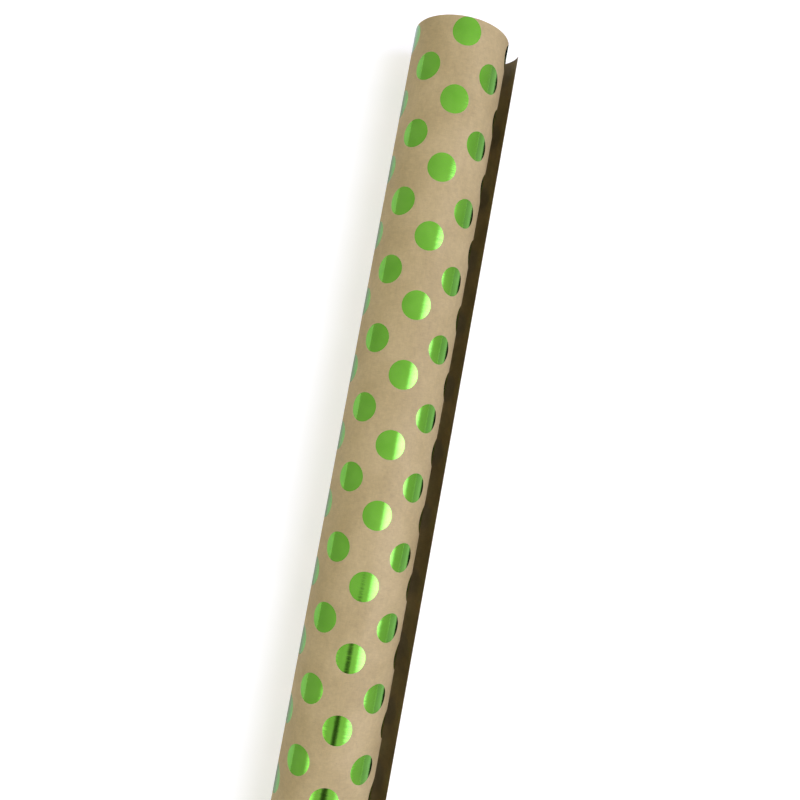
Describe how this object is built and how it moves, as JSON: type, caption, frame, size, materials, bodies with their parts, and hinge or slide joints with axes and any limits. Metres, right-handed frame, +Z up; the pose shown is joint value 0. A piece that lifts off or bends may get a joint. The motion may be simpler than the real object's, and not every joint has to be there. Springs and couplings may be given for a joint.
{
  "type": "wrapping paper roll",
  "caption": "Roll of kraft wrapping paper with metallic green foil dots on a cardboard core, its loose end curling out underneath and the outer turn able to unwind.",
  "frame": {"origin": "on the surface the roll lies on, under the middle of its bounding box", "axes": "+X along the roll's axis, +Z up, the loose flap towards -Y"},
  "size_m": [0.762, 0.0485, 0.0425],
  "materials": {
    "core_board": "grey-brown spiral-wound core board",
    "glue": "dried translucent starter glue",
    "kraft_paper": "smooth machine-glazed kraft paper, fibres and faint mottling",
    "printed_paper": "kraft paper printed outside with metallic green foil dots, plain inside",
    "green_foil": "mirror-bright metallic green stamping foil"
  },
  "bodies": {
    "roll": {"core_inner_ply": "core_board", "core_middle_ply": "core_board", "core_outer_ply": "core_board", "starter_glue_strip": "glue", "wound_paper": "kraft_paper"},
    "turn_1": {"outer_turn_strip_1": "printed_paper"},
    "turn_2": {"outer_turn_strip_2": "printed_paper"},
    "turn_3": {"outer_turn_strip_3": "printed_paper"},
    "turn_4": {"outer_turn_strip_4": "printed_paper"},
    "turn_5": {"outer_turn_strip_5": "printed_paper"},
    "turn_6": {"outer_turn_strip_6": "printed_paper"},
    "turn_7": {"outer_turn_strip_7": "printed_paper"},
    "turn_8": {"outer_turn_strip_8": "printed_paper"},
    "flap_1": {"flap_strip_1": "printed_paper"},
    "flap_2": {"flap_strip_2": "printed_paper"},
    "flap_3": {"flap_strip_3": "printed_paper"},
    "flap_4": {"flap_strip_4": "printed_paper"}
  },
  "joints": [
    {"name": "unwind_1", "type": "hinge", "parent": "roll", "child": "turn_1", "pos_m": [0, -0.00281, 0.0006], "axis": [1, 0, 0], "range_deg": [0, 6], "stiffness_Nm_per_rad": 0.07, "springref_deg": -34.38},
    {"name": "unwind_2", "type": "hinge", "parent": "turn_1", "child": "turn_2", "pos_m": [0, -0.01507, 0.00939], "axis": [1, 0, 0], "range_deg": [0, 24]},
    {"name": "unwind_3", "type": "hinge", "parent": "turn_2", "child": "turn_3", "pos_m": [0, -0.01841, 0.02413], "axis": [1, 0, 0], "range_deg": [0, 24]},
    {"name": "unwind_4", "type": "hinge", "parent": "turn_3", "child": "turn_4", "pos_m": [0, -0.01112, 0.0374], "axis": [1, 0, 0], "range_deg": [0, 24]},
    {"name": "unwind_5", "type": "hinge", "parent": "turn_4", "child": "turn_5", "pos_m": [0, 0.00318, 0.04251], "axis": [1, 0, 0], "range_deg": [0, 24]},
    {"name": "unwind_6", "type": "hinge", "parent": "turn_5", "child": "turn_6", "pos_m": [0, 0.01729, 0.03682], "axis": [1, 0, 0], "range_deg": [0, 24]},
    {"name": "unwind_7", "type": "hinge", "parent": "turn_6", "child": "turn_7", "pos_m": [0, 0.02409, 0.02317], "axis": [1, 0, 0], "range_deg": [0, 24]},
    {"name": "unwind_8", "type": "hinge", "parent": "turn_7", "child": "turn_8", "pos_m": [0, 0.02011, 0.00841], "axis": [1, 0, 0], "range_deg": [0, 24]},
    {"name": "unwind_9", "type": "hinge", "parent": "turn_8", "child": "flap_1", "pos_m": [0, 0.00731, 0], "axis": [1, 0, 0], "range_deg": [0, 12]},
    {"name": "uncurl_1", "type": "hinge", "parent": "flap_1", "child": "flap_2", "pos_m": [0, -0.00711, 0], "axis": [1, 0, 0], "range_deg": [-4.5, 8], "stiffness_Nm_per_rad": 0.004},
    {"name": "uncurl_2", "type": "hinge", "parent": "flap_2", "child": "flap_3", "pos_m": [0, -0.01515, 0.00198], "axis": [1, 0, 0], "range_deg": [-9, 16.01]},
    {"name": "uncurl_3", "type": "hinge", "parent": "flap_3", "child": "flap_4", "pos_m": [0, -0.02134, 0.00746], "axis": [1, 0, 0], "range_deg": [-9, 16.01]}
  ],
  "couplings": [
    {"joint": "unwind_2", "follows": "unwind_1", "ratio": 4},
    {"joint": "unwind_3", "follows": "unwind_1", "ratio": 4},
    {"joint": "unwind_4", "follows": "unwind_1", "ratio": 4},
    {"joint": "unwind_5", "follows": "unwind_1", "ratio": 4},
    {"joint": "unwind_6", "follows": "unwind_1", "ratio": 4},
    {"joint": "unwind_7", "follows": "unwind_1", "ratio": 4},
    {"joint": "unwind_8", "follows": "unwind_1", "ratio": 4},
    {"joint": "unwind_9", "follows": "unwind_1", "ratio": 2},
    {"joint": "uncurl_2", "follows": "uncurl_1", "ratio": 2.0007},
    {"joint": "uncurl_3", "follows": "uncurl_1", "ratio": 2.0007}
  ]
}
